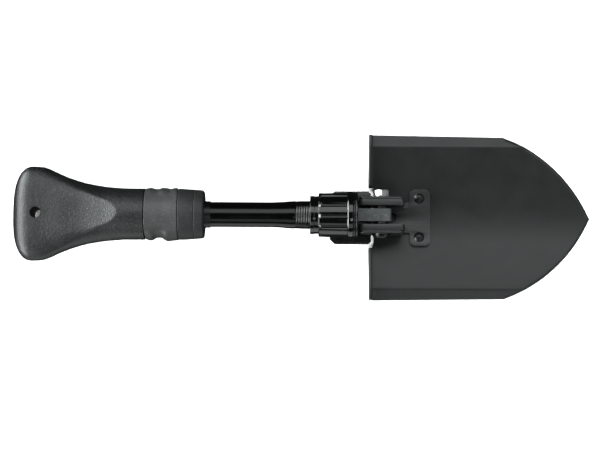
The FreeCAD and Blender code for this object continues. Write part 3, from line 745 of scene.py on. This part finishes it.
def make_blade(materials):
    """Pressed sheet with a round valley, bent side flanges, a ground point and two foot lips."""
    bend_start = FLANGE_Y - FLANGE_SOFT
    bend_end = FLANGE_Y + FLANGE_SOFT
    half_columns = [0.0] + list(np.linspace(1.5, VALLEY_HALF, 14)) + [LIP_INNER]
    half_columns += list(np.linspace(LIP_INNER, bend_start, 18)[1:])
    half_columns += [FLANGE_Y - FLANGE_SOFT / 3, FLANGE_Y + FLANGE_SOFT / 3, bend_end]
    half_columns += list(np.linspace(bend_end, side_y(BACK_X), 7)[1:])
    columns = [-y for y in reversed(half_columns[1:])] + half_columns
    stations = list(np.linspace(BACK_X, SHOULDER_X, 40))
    stations += list(np.linspace(SHOULDER_X, TIP_X, 46)[1:])
    points = []
    faces = []
    rows = len(stations)
    width = len(columns) + 2

    def plan_row(x):
        inner = ground_y(x)
        outer = outline_y(x)
        row = [(-outer, True)]
        row += [(math.copysign(min(abs(y), inner), y), False) for y in columns]
        row.append((outer, True))
        return row

    for layer in ("face", "back"):
        for x in stations:
            for y, on_edge in plan_row(x):
                z = face_z(abs(y))
                if layer == "face":
                    if on_edge and x > SHOULDER_X:
                        z -= 1.0
                    points.append((x, y, z))
                else:
                    ny, nz = face_normal(abs(y))
                    inward = y - math.copysign(ny, y) * SHEET if abs(y) > 0 else 0.0
                    limit = outline_y(x)
                    back_y = y if on_edge else max(-limit, min(limit, inward))
                    points.append((x, back_y, z - SHEET * nz))
    offset = rows * width
    for i in range(rows - 1):
        for k in range(width - 1):
            a = i * width + k
            faces.append((a, a + width, a + width + 1, a + 1))
            faces.append((offset + a, offset + a + 1, offset + a + width + 1, offset + a + width))
    for i in range(rows - 1):
        for k in (0, width - 1):
            a = i * width + k
            faces.append((a, offset + a, offset + a + width, a + width))
    lip_columns = set()
    for k in range(width - 1):
        y0 = points[k][1]
        y1 = points[k + 1][1]
        if min(abs(y0), abs(y1)) >= LIP_INNER - 0.01:
            lip_columns.add(k)
        else:
            faces.append((k, k + 1, offset + k + 1, offset + k))

    bend_r = LIP_BEND_R
    rise = 8.0
    rounding = 0.7

    def lip_section(y):
        """Points (x, offset) up the lip's face, over its top and down its back."""
        turn = [math.radians(90 * s / 5) for s in range(1, 6)]
        inner_x = BACK_X - bend_r
        outer_x = BACK_X - bend_r - SHEET
        path = [(BACK_X - bend_r * math.sin(t), bend_r * (1 - math.cos(t))) for t in turn]
        path.append((inner_x, rise - rounding))
        near = [rounding * (1 - math.cos(t)) for t in turn]
        far = [rounding * (1 - math.sin(t)) for t in turn]
        path += [(inner_x - n, rise - f) for n, f in zip(near, far)]
        path += [(outer_x + f, rise - n) for n, f in zip(near, far)]
        back_r = bend_r + SHEET
        path += [(BACK_X - back_r * math.cos(t), bend_r - back_r * math.sin(t)) for t in [0.0] + turn[:-1]]
        return path

    steps = len(lip_section(0))
    lip_start = {}
    for k in sorted(lip_columns | {k + 1 for k in lip_columns}):
        y = points[k][1]
        ny, nz = face_normal(abs(y))
        z = face_z(abs(y))
        lip_start[k] = len(points)
        for x, lift in lip_section(y):
            shift = y + math.copysign(ny, y) * lift
            bound = side_y(x) - 0.07 * max(lift, 0)
            points.append((x, max(-bound, min(bound, shift)), z + lift * nz))
    for k in sorted(lip_columns):
        left = [k] + list(range(lip_start[k], lip_start[k] + steps)) + [offset + k]
        right = [k + 1] + list(range(lip_start[k + 1], lip_start[k + 1] + steps)) + [offset + k + 1]
        for s in range(len(left) - 1):
            faces.append((left[s], left[s + 1], right[s + 1], right[s]))
        for loop, neighbour in ((left, k - 1), (right, k + 1)):
            if neighbour not in lip_columns:
                faces.append(tuple(loop))
    blade = new_mesh("blade_sheet", points, faces, 30)
    rivet_x = 32.0
    rivet_y = 16.35
    rivet_r = 2.5
    holes = []
    for side in (-1, 1):
        # a rivet's hole, square to the valley
        lean = math.asin(rivet_y / VALLEY_R) * side
        low = (rivet_x, rivet_y * side + 6 * math.sin(lean), -29.0)
        high = (rivet_x, rivet_y * side - 6 * math.sin(lean), -17.0)
        holes.append(cylinder_cutter(low, high, [(0, rivet_r), (1, rivet_r)]))
    past_x = BACK_X - 3
    notch = [(past_x, -LIP_INNER), (NOTCH_X, -LIP_INNER), (NOTCH_X, LIP_INNER), (past_x, LIP_INNER)]
    holes.append(prism_cutter(notch, -40, 0, radius=1.2))
    cut(blade, *holes)
    bevel = blade.modifiers.new("edges", "BEVEL")
    bevel.width = 0.35 * MM
    bevel.segments = 3
    bevel.limit_method = "ANGLE"
    bevel.angle_limit = math.radians(42)
    apply_modifiers(blade)
    finish_shading(blade.data, 32)
    place(blade, "blade", materials["blade"])


# ---------------------------------------------------------------- stage

def softbox(name, side, size, radiance, x=0.0, distance=1.8, end=0.0, color=(0.955, 1.0, 1.0),
            sheen=False):
    """Panel light aimed at the object. side and end are its angles from straight up, in degrees,
    towards +Y and -X. A sheen panel only shows in reflections."""
    light = bpy.data.lights.new(name, "AREA")
    light.color = color
    light.shape = "RECTANGLE"
    light.size, light.size_y = size
    light.energy = radiance * math.pi * size[0] * size[1]
    holder = bpy.data.objects.new(name, light)
    bpy.context.scene.collection.objects.link(holder)
    over = math.radians(side)
    along = math.radians(end)
    back = Vector((-math.sin(along), math.cos(along) * math.sin(over), math.cos(along) * math.cos(over)))
    aim = Vector((x, 0, 0))
    holder.location = aim + back * distance
    holder.rotation_euler = (-back).to_track_quat("-Z", "Y").to_euler()
    holder.visible_diffuse = not sheen
    return holder


def stage_piece(name, points, faces, material):
    mesh = bpy.data.meshes.new(name)
    mesh.from_pydata(points, [], faces)
    piece = bpy.data.objects.new(name, mesh)
    bpy.context.scene.collection.objects.link(piece)
    mesh.materials.append(material)
    return piece


def make_stage():
    """A matt pale floor with its own soft light, and a pale backdrop that only the camera sees."""
    reach = 5.0
    n = Nodes("pale_floor")
    n.link(n.mix(n.noise(6.0), (0.88, 0.88, 0.88), (0.92, 0.92, 0.92)), n.shader.inputs["Base Color"])
    n.set(Roughness=0.9, Specular_IOR_Level=0.2)
    corners = [(-reach, -reach, 0), (reach, -reach, 0), (reach, reach, 0), (-reach, reach, 0)]
    floor = stage_piece("floor", corners, [(0, 1, 2, 3)], n.material)
    floor.visible_glossy = False
    floor.visible_diffuse = False
    floor.visible_shadow = False
    floor_only = bpy.data.collections.new("floor_only")
    floor_only.objects.link(floor)
    for side in (-35, 35):
        table_light = softbox("table_light", side, (3.6, 0.9), 16.0, distance=2.2, color=(1, 1, 1))
        table_light.light_linking.receiver_collection = floor_only

    backdrop = Nodes("pale_backdrop")
    backdrop.link(backdrop.mix(backdrop.noise(1.0), (0.93, 0.93, 0.93), (0.97, 0.97, 0.97)),
                  backdrop.shader.inputs["Emission Color"])
    backdrop.set(Base_Color=(0, 0, 0, 1), Specular_IOR_Level=0.0, Emission_Strength=1.0)
    radius = 4.9
    sides = 64
    points = []
    for height in (-0.5, 6.0):
        for k in range(sides):
            angle = 2 * math.pi * k / sides
            points.append((radius * math.cos(angle), radius * math.sin(angle), height))
    faces = [(k, (k + 1) % sides, sides + (k + 1) % sides, sides + k) for k in range(sides)]
    wall = stage_piece("backdrop", points, faces, backdrop.material)
    for ray in ("visible_diffuse", "visible_glossy", "visible_transmission", "visible_shadow"):
        setattr(wall, ray, False)


def make_lights():
    """Plain soft panels round the object; the floor has its own, so that theirs cast no shadow on it."""
    world = bpy.data.worlds.new("studio")
    world.use_nodes = True
    background = world.node_tree.nodes["Background"]
    background.inputs["Color"].default_value = (1.0, 1.0, 1.0, 1.0)
    background.inputs["Strength"].default_value = 0.03
    bpy.context.scene.world = world
    panels = [
        softbox("key", 28, (2.8, 1.10), 1.42),
        softbox("fill", -58.5, (2.8, 0.72), 0.6, sheen=True),
        softbox("low_card", -111, (2.8, 1.2), 0.95, sheen=True),
        softbox("blade_card", -27, (1.0, 0.34), 2.4, x=0.62),
        softbox("end", 0, (2.0, 1.2), 2.1, x=-0.25, end=46),
        softbox("end_spot", 0, (2.4, 0.5), 9.0, x=-0.10, end=58, sheen=True),
        softbox("end_left", 66, (1.2, 0.8), 8.0, x=-0.10, end=49, sheen=True),
        softbox("end_right", -66, (1.2, 0.8), 8.0, x=-0.10, end=49, sheen=True),
        softbox("far_end", 0, (1.3, 1.5), 0.6, x=0.2, end=-50, sheen=True),
    ]
    not_floor = bpy.data.collections.new("not_floor")
    not_floor.objects.link(bpy.data.objects["floor"])
    not_floor.collection_objects[0].light_linking.link_state = "EXCLUDE"
    for panel in panels:
        panel.light_linking.receiver_collection = not_floor
    bpy.context.scene.view_settings.view_transform = "Standard"


def make_camera():
    """Nearly straight down on the blade's face, a little from the -Y side."""
    distance = 1.25
    elevation = math.radians(85)
    seen_width = 0.4968
    target = Vector((0.0009, -0.0082, PIN[2]))
    camera = bpy.data.cameras.new("camera")
    camera.sensor_width = 36.0
    camera.lens = 36.0 * distance / seen_width
    camera.clip_start = 0.01
    holder = bpy.data.objects.new("camera", camera)
    bpy.context.scene.collection.objects.link(holder)
    back = Vector((0, -math.cos(elevation), math.sin(elevation)))
    holder.location = target + back * distance
    rotation = (-back).to_track_quat("-Z", "Y")
    roll = math.radians(0.3)
    holder.rotation_euler = rotation.to_euler()
    holder.rotation_euler.rotate_axis("Z", roll)
    bpy.context.scene.camera = holder


def main():
    make_camera()
    make_stage()
    make_lights()
    materials = make_materials()
    make_handle(materials)
    make_grip(materials)
    make_ferrule(materials)
    make_tube(materials)
    make_nut(materials)
    make_blade(materials)
    finishes = {
        "wave_washer": ("ring", 0.25), "thrust_ring": ("ring", 0.25),
        "yoke": ("yoke", 0.5), "hammer_pad": ("pad", 0.6), "hinge_bracket": ("bracket", 0.5),
        "cheek_plate_left": ("bracket", 0.3), "cheek_plate_right": ("bracket", 0.3),
        "bracket_rivets": ("rivet", 0.3), "pivot_bolt": ("bolt", 0.4), "pivot_nut": ("zinc", 0.3),
        "pivot_washer": ("zinc", 0.2), "spacer_washers": ("bushing", 0.2), "snap_button": ("zinc", 0.3),
        "pad_rivets": ("bolt", 0.1),
    }
    for node, (material, edge) in finishes.items():
        place(refined(node, edge), node, materials[material])
    kept = {"guide_ring": "bushing", "button_spring": "spring", "yoke_pin": "spring"}
    for node, material in kept.items():
        dress(frame["nodes"][node], materials[material])


main()
